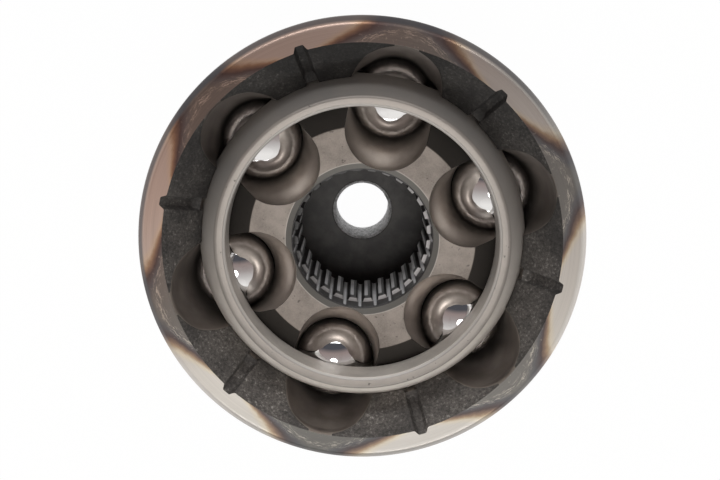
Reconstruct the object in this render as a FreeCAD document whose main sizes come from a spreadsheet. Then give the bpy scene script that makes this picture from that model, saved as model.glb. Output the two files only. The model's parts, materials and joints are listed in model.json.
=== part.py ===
import FreeCAD, Part
import math, os
import Sketcher

# Fixed six-ball joint, millimetres.  Origin at the joint centre, +Z out of the mouth.
# The balls sit at 30, 90, ... 330 degrees, so the X axis lies between two of them.

sizeTable = {
    # balls and the circle they run on
    "ballCount": 6, "ballRadius": 8.731, "pitchRadius": 30.0, "trackOffset": 5.0,
    "spread": 60.0,
    # play between moving parts, wall and land sizes added to them
    "trackClearance": 0.269, "windowPlay": 0.838, "windowSlack": 4.138,
    "cavityClearance": 0.05, "raceClearance": 0.05, "bodyWall": 8.2, "cageRise": 6.3,
    "raceRise": 0.55,
    # mouth of the outer race
    "rimInset": 5.5, "rimLevel": 19.9, "coneWidth": 8.7, "coneDepth": 9.7,
    "bevelInset": 1.4, "bevelDrop": 1.2, "shoulderDrop": 3.3, "shoulderRound": 2.2,
    # outside of the outer race
    "beadInset": 0.7, "beadTop": 9.2, "beadBottom": 6.6, "beadSlope": 0.4,
    "collarBottom": 0.0, "waistInset": 2.0, "waistLevel": -2.0, "bowlInset": 0.6,
    "bowlTop": -8.0, "bowlEnd": -28.0, "neckRadius": 29.0, "neckTop": -33.0,
    "neckLevel": -37.0, "hubRadius": 31.0, "hubTop": -39.0, "hubBevel": 1.0,
    "backLevel": -46.5,
    # inside of the outer race
    "floorLevel": -30.5, "cavityLead": 5.8, "trackDeep": 40.0, "trackOut": 50.0,
    "reliefBaseRise": 0.3, "reliefBaseLevel": 4.0, "reliefWiden": 0.95,
    "reliefAxisRise": 1.5, "reliefLevel": 17.0, "reliefRun": 10.0,
    # channels down the forged mouth cone: half widths at lip, wall and floor
    "channelCount": 6, "channelDepth": 1.15, "channelFloor": 0.75, "channelWall": 1.1,
    "channelLip": 1.45, "channelTop": 1.2, "channelLead": 3.0,
    # tapped hole and face teeth of the hub end
    "threadMinor": 6.19, "threadMouth": 6.9, "threadLead": 0.8,
    "dishRadius": 19.5, "dishDepth": 1.6, "toothCount": 48, "toothDepth": 2.1,
    "toothHalf": 1.95, "toothLand": 0.22, "toothOverrun": 2.0, "toothInset": 2.0,
    # cage
    "cageLip": 1.9, "cageRib": 10.05, "cageInnerBevel": 0.6, "cageOuterBevel": 0.45,
    "windowCorner": 4.5,
    # inner race
    "raceHalf": 13.0, "raceFaceInset": 6.45, "raceTaperLevel": 9.0,
    "raceSweep": 75.0,
    # splined bore
    "splineCount": 28, "splineTip": 14.0, "splineDepth": 1.05, "slotHalfTip": 0.78,
    "slotEnd": 0.55, "boreBevelWidth": 2.4, "boreBevelDepth": 1.6,
    "clipTop": 6.2, "clipBottom": 3.8, "clipDepth": 0.9, "slotInside": 1.5,
}

# sizes that follow from the ones above
fittedTable = {
    "trackRadius": "ballRadius + trackClearance",
    "windowHeight": "2 * ballRadius + windowPlay",
    "windowWidth": "2 * ballRadius + windowSlack",
    "cageRadius": "pitchRadius + cageRise",
    "cavityRadius": "cageRadius + cavityClearance",
    "raceRadius": "pitchRadius + raceRise",
    "raceFace": "raceRadius - raceFaceInset",
    "cageInner": "raceRadius + raceClearance",
    "cageBore": "cageInner - cageLip",
    "cageHalf": "windowHeight / 2 + cageRib",
    "bodyRadius": "pitchRadius + trackRadius + bodyWall",
    "rimRadius": "bodyRadius - rimInset",
    "coneRadius": "rimRadius - coneWidth",
    "bevelRadius": "bodyRadius - bevelInset",
    "beadRadius": "bodyRadius - beadInset",
    "waistRadius": "bodyRadius - waistInset",
    "bowlRadius": "bodyRadius - bowlInset",
    "coneLevel": "rimLevel - coneDepth",
    "bevelLevel": "rimLevel - bevelDrop",
    "shoulderLevel": "rimLevel - shoulderDrop",
    "cavityTop": "coneLevel + cavityLead",
    "reliefBase": "pitchRadius + reliefBaseRise",
    "reliefAxis": "pitchRadius + reliefAxisRise",
    "reliefRadius": "trackRadius + reliefWiden",
    "toothInner": "dishRadius - toothInset",
    "toothOuter": "hubRadius + toothOverrun",
    "splineRoot": "splineTip + splineDepth",
    "boreBevelRadius": "splineTip + boreBevelWidth",
    "clipRadius": "splineTip + clipDepth",
}

doc = FreeCAD.newDocument("fixed_joint")
sheet = doc.addObject("Spreadsheet::Sheet", "Sizes")


class Size:
    # a number together with the expression that yields it
    def __init__(self, number, text):
        self.number = number
        self.text = text

    def join(self, other, sign, number):
        text = other.text if isinstance(other, Size) else repr(other)
        return Size(number, "(%s %s %s)" % (self.text, sign, text))

    def __add__(self, other):
        return self.join(other, "+", self.number + numberOf(other))

    def __sub__(self, other):
        return self.join(other, "-", self.number - numberOf(other))

    def __mul__(self, other):
        return self.join(other, "*", self.number * numberOf(other))

    def __truediv__(self, other):
        return self.join(other, "/", self.number / numberOf(other))

    def __neg__(self):
        return Size(-self.number, "(0 - %s)" % self.text)


def numberOf(value):
    return value.number if isinstance(value, Size) else float(value)


def root(value):
    return Size(math.sqrt(value.number), "sqrt(%s)" % value.text)


def hypot(a, b):
    return root(a * a + b * b)


def leg(a, b):
    return root(a * a - b * b)


class Sizes:
    pass


def fillSheet():
    cells = {name: str(number) for name, number in sizeTable.items()}
    cells.update({name: "=" + rule for name, rule in fittedTable.items()})
    for row, (name, content) in enumerate(cells.items(), start=1):
        sheet.set("A%d" % row, name)
        sheet.set("B%d" % row, content)
        sheet.setAlias("B%d" % row, name)
    doc.recompute()
    table = Sizes()
    for name in cells:
        setattr(table, name, Size(float(sheet.get(name)), "Sizes." + name))
    return table


s = fillSheet()
zero = Size(0.0, "0")


def newBody(label):
    body = doc.addObject("PartDesign::Body", label)
    body.Label = label
    return body


def originOf(body, role):
    return [f for f in body.Origin.OriginFeatures if f.Role == role][0]


def newSketch(body, name, role, height=None):
    sk = body.newObject("Sketcher::SketchObject", name)
    sk.AttachmentSupport = [(originOf(body, role), "")]
    sk.MapMode = "FlatFace"
    if height is not None:
        sk.AttachmentOffset = FreeCAD.Placement(
            FreeCAD.Vector(0, 0, height.number), FreeCAD.Rotation())
        sk.setExpression("AttachmentOffset.Base.z", height.text)
    return sk


def bind(sk, kind, name, value, *refs):
    index = sk.addConstraint(Sketcher.Constraint(kind, *refs, value.number))
    sk.renameConstraint(index, name)
    sk.setExpression("Constraints." + name, value.text)


def pin(sk, name, geo, end, x, y):
    bind(sk, "DistanceX", name + "x", x, -1, 1, geo, end)
    bind(sk, "DistanceY", name + "y", y, -1, 1, geo, end)


def outline(sk, points):
    # closed outline; a point is (x, y) or (x, y, "cw"/"ccw") when the edge that
    # leaves it is an arc around the sketch origin
    count = len(points)
    for i, point in enumerate(points):
        following = points[(i + 1) % count]
        a = FreeCAD.Vector(point[0].number, point[1].number, 0)
        b = FreeCAD.Vector(following[0].number, following[1].number, 0)
        if len(point) == 3:
            start, stop = (a, b) if point[2] == "ccw" else (b, a)
            circle = Part.Circle(FreeCAD.Vector(0, 0, 0), FreeCAD.Vector(0, 0, 1), a.Length)
            sk.addGeometry(Part.ArcOfCircle(
                circle, math.atan2(start.y, start.x), math.atan2(stop.y, stop.x)))
            sk.addConstraint(Sketcher.Constraint("Coincident", i, 3, -1, 1))
        else:
            sk.addGeometry(Part.LineSegment(a, b))
    for i in range(count):
        j = (i + 1) % count
        endOfI = 1 if len(points[i]) == 3 and points[i][2] == "cw" else 2
        startOfJ = 2 if len(points[j]) == 3 and points[j][2] == "cw" else 1
        sk.addConstraint(Sketcher.Constraint("Coincident", i, endOfI, j, startOfJ))
    for i, point in enumerate(points):
        startOfI = 2 if len(point) == 3 and point[2] == "cw" else 1
        afterArc = len(points[i - 1]) == 3
        if afterArc:
            bind(sk, "DistanceY", "p%dy" % i, point[1], -1, 1, i, startOfI)
        else:
            pin(sk, "p%d" % i, i, startOfI, point[0], point[1])


def disc(sk, x, y, radius):
    sk.addGeometry(Part.Circle(
        FreeCAD.Vector(x.number, y.number, 0), FreeCAD.Vector(0, 0, 1), radius.number))
    bind(sk, "Radius", "r", radius, 0)
    pin(sk, "c", 0, 3, x, y)


def turned(body, name, points, cut=False):
    sk = newSketch(body, name + "Profile", "XZ_Plane")
    outline(sk, points)
    feature = body.newObject("PartDesign::Groove" if cut else "PartDesign::Revolution", name)
    feature.Profile = sk
    feature.ReferenceAxis = (sk, ["V_Axis"])
    feature.Angle = 360
    return settle(feature, cut)


def settle(feature, cut):
    doc.recompute()
    if "Invalid" in feature.State or "Error" in feature.State or feature.Shape.isNull():
        raise RuntimeError("feature failed: " + feature.Name)
    base = getattr(feature, "BaseFeature", None)
    if base is not None:
        gained = feature.Shape.Volume - base.Shape.Volume
        if (gained >= 0) if cut else (gained <= 0):
            raise RuntimeError("feature changes nothing: " + feature.Name)
    return feature


def around(body, feature, name, count, cut=True):
    pattern = body.newObject("PartDesign::PolarPattern", name)
    pattern.Originals = [feature]
    pattern.Axis = (originOf(body, "Z_Axis"), [""])
    pattern.Angle = 360
    pattern.setExpression("Occurrences", count.text)
    pattern.Occurrences = int(count.number)
    body.Tip = pattern
    return settle(pattern, cut)


def trackCut(body, name, centre, deep, out):
    # ring section swung about an axis across the joint axis: one ball track
    sk = newSketch(body, name + "Profile", "XY_Plane", centre)
    disc(sk, zero, hypot(s.pitchRadius, s.trackOffset), s.trackRadius)
    cut = body.newObject("PartDesign::Groove", name)
    cut.Profile = sk
    cut.ReferenceAxis = (sk, ["H_Axis"])
    cut.Type = "TwoAngles"
    cut.setExpression("Angle", out.text)
    cut.setExpression("Angle2", deep.text)
    cut.Angle = out.number
    cut.Angle2 = deep.number
    return settle(cut, True)


def ringEdges(shape, radius, level, tolerance=0.02):
    names = []
    for number, edge in enumerate(shape.Edges, start=1):
        curve = edge.Curve
        if not isinstance(curve, Part.Circle):
            continue
        onAxis = math.hypot(curve.Center.x, curve.Center.y) < tolerance
        sameLevel = abs(curve.Center.z - level.number) < tolerance
        if onAxis and sameLevel and abs(curve.Radius - radius.number) < tolerance:
            names.append("Edge%d" % number)
    return names


def dress(body, kind, name, base, edges, amount):
    feature = body.newObject("PartDesign::" + kind, name)
    feature.Base = (base, edges)
    slot = "Radius" if kind == "Fillet" else "Size"
    setattr(feature, slot, amount.number)
    feature.setExpression(slot, amount.text)
    body.Tip = feature
    doc.recompute()
    if not edges or "Invalid" in feature.State or feature.Shape.isNull():
        raise RuntimeError("edge feature failed: " + name)
    return feature


def addBlank(body):
    blank = turned(body, "Blank", [
        (zero, s.backLevel),
        (s.hubRadius - s.hubBevel, s.backLevel),
        (s.hubRadius, s.backLevel + s.hubBevel),
        (s.hubRadius, s.hubTop),
        (s.neckRadius, s.neckLevel),
        (s.neckRadius, s.neckTop),
        (leg(s.bowlRadius, s.bowlEnd), s.bowlEnd, "ccw"),
        (leg(s.bowlRadius, s.bowlTop), s.bowlTop),
        (s.waistRadius, s.waistLevel),
        (s.bodyRadius, s.collarBottom),
        (s.bodyRadius, s.beadBottom - s.beadSlope),
        (s.beadRadius, s.beadBottom),
        (s.beadRadius, s.beadTop),
        (s.bodyRadius, s.beadTop + s.beadSlope),
        (s.bodyRadius, s.shoulderLevel),
        (s.bevelRadius, s.bevelLevel),
        (s.rimRadius, s.rimLevel),
        (s.coneRadius, s.coneLevel),
        (zero, s.coneLevel),
    ])
    edges = ringEdges(blank.Shape, s.bevelRadius, s.bevelLevel)
    edges += ringEdges(blank.Shape, s.bodyRadius, s.shoulderLevel)
    return dress(body, "Fillet", "Shoulder", blank, edges, s.shoulderRound)


def addCavity(body):
    return turned(body, "Cavity", [
        (zero, s.floorLevel),
        (leg(s.cavityRadius, s.floorLevel), s.floorLevel, "ccw"),
        (leg(s.cavityRadius, s.cavityTop), s.cavityTop),
        (zero, s.cavityTop),
    ], cut=True)


def turnedBy(reach, function, angle):
    # reach times the sine or cosine of an angle in degrees
    number = reach.number * getattr(math, function)(math.radians(angle.number))
    return Size(number, "(%s * %s(%s * 1 deg))" % (reach.text, function, angle.text))


def addTrackEnd(body, centre, angle):
    # round end of a ground track, angle degrees up from the track's own centre
    sk = newSketch(body, "TrackEndProfile", "YZ_Plane")
    reach = hypot(s.pitchRadius, s.trackOffset)
    x = turnedBy(reach, "cos", angle)
    y = centre + turnedBy(reach, "sin", angle)
    sk.addGeometry(Part.ArcOfCircle(
        Part.Circle(FreeCAD.Vector(x.number, y.number, 0), FreeCAD.Vector(0, 0, 1),
                    s.trackRadius.number), -math.pi / 2, math.pi / 2))
    top = FreeCAD.Vector(x.number, y.number + s.trackRadius.number, 0)
    low = FreeCAD.Vector(x.number, y.number - s.trackRadius.number, 0)
    sk.addGeometry(Part.LineSegment(top, low))
    sk.addConstraint(Sketcher.Constraint("Coincident", 0, 2, 1, 1))
    sk.addConstraint(Sketcher.Constraint("Coincident", 1, 2, 0, 1))
    sk.addConstraint(Sketcher.Constraint("Vertical", 1))
    sk.addConstraint(Sketcher.Constraint("PointOnObject", 0, 3, 1))
    bind(sk, "Radius", "r", s.trackRadius, 0)
    pin(sk, "c", 0, 3, x, y)
    end = body.newObject("PartDesign::Groove", "TrackEnd")
    end.Profile = sk
    end.ReferenceAxis = (sk, ["Edge2"])
    end.Angle = 360
    return settle(end, True)


def addRelief(body):
    # forged opening of each track at the mouth, a cone leaning outwards
    sk = newSketch(body, "ReliefProfile", "YZ_Plane")
    ends = [
        (s.reliefBase, s.reliefBaseLevel),
        (s.reliefBase + s.trackRadius, s.reliefBaseLevel),
        (s.reliefAxis + s.reliefRadius, s.reliefLevel),
        (s.reliefAxis + s.reliefRadius, s.reliefLevel + s.reliefRun),
        (s.reliefAxis, s.reliefLevel + s.reliefRun),
    ]
    outline(sk, ends)
    cut = body.newObject("PartDesign::Groove", "Relief")
    cut.Profile = sk
    cut.ReferenceAxis = (sk, ["Edge5"])
    cut.Angle = 360
    return settle(cut, True)


def addChannels(body):
    # forged channels that run down the mouth cone midway between the tracks
    rise, run = s.rimLevel - s.coneLevel, s.rimRadius - s.coneRadius
    slope = hypot(rise, run)
    x = s.rimRadius + s.channelLead * run / slope
    z = s.rimLevel + s.channelLead * rise / slope
    sk = newSketch(body, "ChannelProfile", "XY_Plane")
    sk.AttachmentOffset = FreeCAD.Placement(
        FreeCAD.Vector(x.number, 0, z.number),
        FreeCAD.Rotation(FreeCAD.Vector(0, 1, 0), 90 - math.degrees(
            math.atan(rise.number / run.number))))
    sk.setExpression("AttachmentOffset.Base.x", x.text)
    sk.setExpression("AttachmentOffset.Base.z", z.text)
    sk.setExpression("AttachmentOffset.Rotation.Angle",
                     "90 deg - atan(%s / %s)" % (rise.text, run.text))
    side = [
        (-s.channelTop, s.channelLip + s.channelTop),
        (zero, s.channelLip),
        (s.channelLip - s.channelWall, s.channelWall),
        (s.channelDepth, s.channelFloor),
    ]
    outline(sk, side + [(depth, -half) for depth, half in reversed(side)])
    channel = body.newObject("PartDesign::Pocket", "Channel")
    channel.Profile = sk
    channel.Length = (s.channelLead + slope).number
    channel.setExpression("Length", (s.channelLead + slope).text)
    settle(channel, True)
    return around(body, channel, "Channels", s.channelCount)


def addHub(body):
    turned(body, "TappedHole", [
        (zero, s.backLevel),
        (s.threadMouth, s.backLevel),
        (s.threadMouth, s.backLevel + s.dishDepth),
        (s.threadMinor, s.backLevel + s.dishDepth + s.threadLead),
        (s.threadMinor, s.floorLevel - s.threadLead),
        (s.threadMouth, s.floorLevel),
        (zero, s.floorLevel),
    ], cut=True)
    turned(body, "HubDish", [
        (zero, s.backLevel),
        (s.dishRadius, s.backLevel),
        (s.dishRadius - s.hubBevel, s.backLevel + s.dishDepth),
        (zero, s.backLevel + s.dishDepth),
    ], cut=True)
    inner = toothSection(body, "ToothInner", s.toothInner)
    outer = toothSection(body, "ToothOuter", s.toothOuter)
    gap = body.newObject("PartDesign::SubtractiveLoft", "ToothGap")
    gap.Profile = inner
    gap.Sections = [outer]
    gap.Ruled = True
    settle(gap, True)
    return around(body, gap, "FaceTeeth", s.toothCount)


def toothSection(body, name, distance):
    # V gap whose width and depth grow with the distance from the axis
    sk = newSketch(body, name, "XZ_Plane", -distance)
    share = distance / s.toothOuter
    outline(sk, [
        (-(s.toothHalf * share), s.backLevel - s.hubBevel),
        (s.toothHalf * share, s.backLevel - s.hubBevel),
        (s.toothHalf * share, s.backLevel),
        (s.toothLand * share, s.backLevel + s.toothDepth * share),
        (-(s.toothLand * share), s.backLevel + s.toothDepth * share),
        (-(s.toothHalf * share), s.backLevel),
    ])
    return sk


def buildOuterRace():
    body = newBody("outer_race")
    addBlank(body)
    addCavity(body)
    track = trackCut(body, "Track", s.trackOffset, s.trackDeep, s.trackOut)
    around(body, track, "Tracks", s.ballCount)
    around(body, addTrackEnd(body, s.trackOffset, -s.trackDeep), "TrackEnds", s.ballCount)
    around(body, addRelief(body), "Reliefs", s.ballCount)
    addChannels(body)
    addHub(body)
    return body


def buildCage():
    body = newBody("cage")
    blank = turned(body, "Blank", [
        (s.cageBore, -s.cageHalf),
        (leg(s.cageRadius, s.cageHalf), -s.cageHalf, "ccw"),
        (leg(s.cageRadius, s.cageHalf), s.cageHalf),
        (s.cageBore, s.cageHalf),
        (s.cageBore, leg(s.cageInner, s.cageBore), "cw"),
        (s.cageBore, -leg(s.cageInner, s.cageBore)),
    ])
    inner = ringEdges(blank.Shape, s.cageBore, s.cageHalf)
    inner += ringEdges(blank.Shape, s.cageBore, -s.cageHalf)
    step = dress(body, "Chamfer", "BoreBevel", blank, inner, s.cageInnerBevel)
    face = leg(s.cageRadius, s.cageHalf)
    outer = ringEdges(step.Shape, face, s.cageHalf) + ringEdges(step.Shape, face, -s.cageHalf)
    dress(body, "Fillet", "FaceRound", step, outer, s.cageOuterBevel)
    around(body, addWindow(body), "Windows", s.ballCount)
    return body


def addWindow(body):
    sk = newSketch(body, "WindowProfile", "XZ_Plane")
    w, h, c = s.windowWidth / 2, s.windowHeight / 2, s.windowCorner
    corners = [(w - c, -h), (w, c - h), (w, h - c), (w - c, h),
               (c - w, h), (-w, h - c), (-w, c - h), (c - w, -h)]
    centres = [(w - c, c - h), (w - c, h - c), (c - w, h - c), (c - w, c - h)]
    for i in range(4):
        a, b = corners[2 * i], corners[2 * i + 1]
        start = math.radians(-90 + 90 * i)
        centre = FreeCAD.Vector(centres[i][0].number, centres[i][1].number, 0)
        sk.addGeometry(Part.ArcOfCircle(Part.Circle(
            centre, FreeCAD.Vector(0, 0, 1), c.number), start, start + math.pi / 2))
        following = corners[(2 * i + 2) % 8]
        sk.addGeometry(Part.LineSegment(
            FreeCAD.Vector(b[0].number, b[1].number, 0),
            FreeCAD.Vector(following[0].number, following[1].number, 0)))
    for i in range(4):
        sk.addConstraint(Sketcher.Constraint("Coincident", 2 * i, 2, 2 * i + 1, 1))
        sk.addConstraint(Sketcher.Constraint("Coincident", 2 * i + 1, 2, (2 * i + 2) % 8, 1))
        pin(sk, "m%d" % i, 2 * i, 3, *centres[i])
        pin(sk, "a%d" % i, 2 * i, 1, *corners[2 * i])
        axis = "DistanceY" if i in (0, 2) else "DistanceX"
        value = corners[2 * i + 1][1 if i in (0, 2) else 0]
        bind(sk, axis, "b%d" % i, value, -1, 1, 2 * i, 2)
    window = body.newObject("PartDesign::Pocket", "Window")
    window.Profile = sk
    window.Type = "ThroughAll"
    window.Reversed = False
    return settle(window, True)


def buildInnerRace():
    body = newBody("inner_race")
    taper = leg(s.raceRadius, s.raceTaperLevel)
    bevel = s.raceHalf - s.boreBevelDepth
    turned(body, "Blank", [
        (s.splineTip, -bevel),
        (s.boreBevelRadius, -s.raceHalf),
        (s.raceFace, -s.raceHalf),
        (taper, -s.raceTaperLevel, "ccw"),
        (taper, s.raceTaperLevel),
        (s.raceFace, s.raceHalf),
        (s.boreBevelRadius, s.raceHalf),
        (s.splineTip, bevel),
    ])
    track = trackCut(body, "Track", -s.trackOffset, s.raceSweep, s.raceSweep)
    around(body, track, "Tracks", s.ballCount)
    around(body, addSplineSlot(body), "SplineSlots", s.splineCount)
    turned(body, "ClipGroove", [
        (s.splineTip - s.slotInside, s.clipBottom),
        (s.clipRadius, s.clipBottom),
        (s.clipRadius, s.clipTop),
        (s.splineTip - s.slotInside, s.clipTop),
    ], cut=True)
    return body


def addSplineSlot(body):
    # round-rooted gap between two spline teeth, open towards the bore
    sk = newSketch(body, "SlotProfile", "XY_Plane")
    low = s.splineTip - s.slotInside
    high = s.splineRoot - s.slotEnd
    left, right = -s.slotHalfTip, s.slotHalfTip
    p = [FreeCAD.Vector(left.number, low.number, 0), FreeCAD.Vector(right.number, low.number, 0),
         FreeCAD.Vector(s.slotEnd.number, high.number, 0),
         FreeCAD.Vector(-s.slotEnd.number, high.number, 0)]
    sk.addGeometry(Part.LineSegment(p[0], p[1]))
    sk.addGeometry(Part.LineSegment(p[1], p[2]))
    sk.addGeometry(Part.ArcOfCircle(Part.Circle(
        FreeCAD.Vector(0, high.number, 0), FreeCAD.Vector(0, 0, 1), s.slotEnd.number),
        0, math.pi))
    sk.addGeometry(Part.LineSegment(p[3], p[0]))
    for a, b in ((0, 1), (1, 2), (2, 3), (3, 0)):
        sk.addConstraint(Sketcher.Constraint("Coincident", a, 2, b, 1))
    pin(sk, "p0", 0, 1, left, low)
    pin(sk, "p1", 0, 2, right, low)
    pin(sk, "c", 2, 3, zero, high)
    pin(sk, "p2", 2, 1, s.slotEnd, high)
    bind(sk, "DistanceY", "p3y", high, -1, 1, 2, 2)
    slot = body.newObject("PartDesign::Pocket", "SplineSlot")
    slot.Profile = sk
    slot.Type = "ThroughAll"
    slot.Midplane = True
    return settle(slot, True)


def buildBall(index):
    ball = doc.addObject("Part::Sphere", "ball_%d" % (index + 1))
    ball.Label = "ball_%d" % (index + 1)
    ball.setExpression("Radius", s.ballRadius.text)
    turn = "((%d + 0.5) * %s * 1 deg)" % (index, s.spread.text)
    ball.setExpression("Placement.Base.x", "%s * cos%s" % (s.pitchRadius.text, turn))
    ball.setExpression("Placement.Base.y", "%s * sin%s" % (s.pitchRadius.text, turn))
    doc.recompute()
    return ball


def export(objects):
    os.makedirs("parts", exist_ok=True)
    doc.recompute()
    for item in objects:
        shape = item.Shape
        bad = "Invalid" in item.State or "Error" in item.State
        if bad or shape.isNull() or not shape.isValid() or len(shape.Solids) != 1:
            raise RuntimeError("bad shape: " + item.Label)
        shape.exportStep("parts/%s.step" % item.Label)
        print(item.Label, "volume %.1f" % shape.Volume, "faces", len(shape.Faces))


pieces = [buildOuterRace(), buildCage(), buildInnerRace()]
pieces += [buildBall(i) for i in range(int(s.ballCount.number))]
export(pieces)
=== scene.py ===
import bpy
import bmesh
import json
import math
import numpy as np
from mathutils import Matrix, Vector


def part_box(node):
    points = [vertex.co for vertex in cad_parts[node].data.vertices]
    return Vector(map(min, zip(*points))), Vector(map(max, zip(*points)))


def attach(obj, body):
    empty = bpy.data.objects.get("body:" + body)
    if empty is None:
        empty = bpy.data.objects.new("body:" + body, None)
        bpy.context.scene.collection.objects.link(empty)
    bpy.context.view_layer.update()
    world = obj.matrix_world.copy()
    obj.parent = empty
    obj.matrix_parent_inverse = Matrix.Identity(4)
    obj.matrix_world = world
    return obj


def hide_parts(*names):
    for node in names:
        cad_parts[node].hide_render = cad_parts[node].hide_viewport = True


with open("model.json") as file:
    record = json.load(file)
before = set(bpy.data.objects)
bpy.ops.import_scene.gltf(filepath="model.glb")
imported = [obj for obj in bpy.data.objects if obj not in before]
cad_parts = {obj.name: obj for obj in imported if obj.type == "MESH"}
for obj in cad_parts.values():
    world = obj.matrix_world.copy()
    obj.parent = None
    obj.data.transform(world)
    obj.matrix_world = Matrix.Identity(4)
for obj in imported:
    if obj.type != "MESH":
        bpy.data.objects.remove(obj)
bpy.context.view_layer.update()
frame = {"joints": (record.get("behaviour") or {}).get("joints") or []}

mm = 0.001                      # the dictionaries below are in millimetres
print("frame loaded")


# sizes that several pieces share, read from the frame where it has them

lowBall, highBall = (np.array(corner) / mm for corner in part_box("ball_2"))
ballRadius = float(highBall[2] - lowBall[2]) / 2
pitchRadius = float(highBall[1] + lowBall[1]) / 2
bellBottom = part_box("outer_race")[0][2] / mm
trackJoint = [j for j in frame["joints"] if j["name"] == "ball_1_track"][0]
trackOffset = trackJoint["pos_m"][2] / mm
trackReach = math.hypot(pitchRadius, trackOffset)
trackCount = 6
trackRadius = 9.0
trackTurn = 30.0                # degrees from +X to the first track
halfSector = math.pi / trackCount
halfColumns = 28                # mesh columns from the middle of a track to the middle of a land
grooveColumns = 13              # of those, the ones inside the track
grooveShares = (0, .12, .24, .36, .48, .59, .69, .78, .86, .92, .96, .985, 1.0, 1.0)


# mesh helpers

def softMax(a, b, blend):
    gap = np.maximum(0.0, blend - np.abs(a - b))
    return np.maximum(a, b) + gap * gap / (4 * blend)


def softMin(a, b, blend):
    return -softMax(-a, -b, blend)


def crossing(inside, high):
    # distance, up to high, at which inside() first stops being above zero
    probes, halvings = 60, 40
    if inside(0.0) <= 0:
        return 0.0
    low = 0.0
    for k in range(1, probes + 1):
        probe = high * k / probes
        if inside(probe) <= 0:
            high = probe
            break
        low = probe
    for _ in range(halvings):
        middle = (low + high) / 2
        if inside(middle) > 0:
            low = middle
        else:
            high = middle
    return low


def roundedPath(corners, turnStep=9.0):
    # corners are (radius, level, rounding); the ends are kept as they are
    path = [np.array(corners[0][:2])]
    for before, here, after in zip(corners, corners[1:], corners[2:]):
        a, p, b = (np.array(c[:2], float) for c in (before, here, after))
        u, v = (a - p) / np.linalg.norm(a - p), (b - p) / np.linalg.norm(b - p)
        turn = math.pi - math.acos(max(-1.0, min(1.0, float(u @ v))))
        if here[2] <= 0 or turn < 0.02:
            path.append(p)
            continue
        room = 0.49 * min(np.linalg.norm(a - p), np.linalg.norm(b - p))
        back = min(here[2] * math.tan(turn / 2), room)
        radius = back / math.tan(turn / 2)
        centre = p + (u + v) / np.linalg.norm(u + v) * (radius / math.cos(turn / 2))
        start, stop = p + u * back - centre, p + v * back - centre
        count = max(2, int(math.degrees(turn) / turnStep) + 1)
        for k in range(count + 1):
            share = k / count
            mix = start * math.sin((1 - share) * turn) + stop * math.sin(share * turn)
            path.append(centre + mix / math.sin(turn))
    path.append(np.array(corners[-1][:2]))
    return path


def spaced(path, longest):
    # adds points so that no stretch of the path is longer than longest
    out = [path[0]]
    for a, b in zip(path, path[1:]):
        pieces = max(1, int(math.ceil(np.linalg.norm(b - a) / longest)))
        out += [a + (b - a) * k / pieces for k in range(1, pieces + 1)]
    return out


def ringFromHalf(half):
    # a half sector, mirrored and repeated round the axis
    mirrored = half[:0:-1] * np.array([1, -1, 1])
    sector = np.vstack([mirrored, half[:-1]])
    ring = []
    for k in range(trackCount):
        angle = math.radians(trackTurn + 360 / trackCount * k)
        c, s = math.cos(angle), math.sin(angle)
        x, y, z = sector.T
        ring.append(np.column_stack([x * c - y * s, x * s + y * c, z]))
    return np.vstack(ring)


def halfRing(radius, level, angles):
    return np.stack([radius * np.cos(angles), radius * np.sin(angles),
                     np.broadcast_to(level, angles.shape)], axis=1)


def inGroove():
    # which faces of each sector lie inside the track
    places = np.arange(2 * halfColumns)
    low, high = halfColumns - grooveColumns, halfColumns + grooveColumns
    return np.tile((places >= low) & (places < high), trackCount)


def gridMesh(name, rows, zones, closed=True, wrap=True, sharp=32):
    # rows of equal length in millimetres; zones holds a material index per row of faces
    count, width = len(rows), len(rows[0])
    points = np.vstack([np.asarray(row, float) for row in rows]) * mm
    faces, marks = [], []
    for i in range(count if closed else count - 1):
        k = (i + 1) % count
        zone = np.broadcast_to(zones[i], (width,))
        for j in range(width if wrap else width - 1):
            m = (j + 1) % width
            faces.append((i * width + j, i * width + m, k * width + m, k * width + j))
            marks.append(int(zone[j]))
    mesh = bpy.data.meshes.new(name)
    mesh.from_pydata(points.tolist(), [], faces)
    mesh.polygons.foreach_set("material_index", marks)
    tidyMesh(mesh, sharp)
    return mesh


def tidyMesh(mesh, sharp):
    work = bmesh.new()
    work.from_mesh(mesh)
    bmesh.ops.remove_doubles(work, verts=work.verts, dist=2e-6)
    bmesh.ops.dissolve_degenerate(work, edges=work.edges, dist=1e-6)
    bmesh.ops.recalc_face_normals(work, faces=work.faces)
    for face in work.faces:
        # level faces are shaded flat
        levels = [corner.co.z for corner in face.verts]
        face.smooth = max(levels) - min(levels) > 2e-8
    work.to_mesh(mesh)
    work.free()
    mesh.set_sharp_from_angle(angle=math.radians(sharp))
    mesh.update()


def addObject(name, data, *materials):
    piece = bpy.data.objects.new(name, data)
    bpy.context.scene.collection.objects.link(piece)
    for material in materials:
        data.materials.append(material)
    return piece


# node helpers

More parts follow.
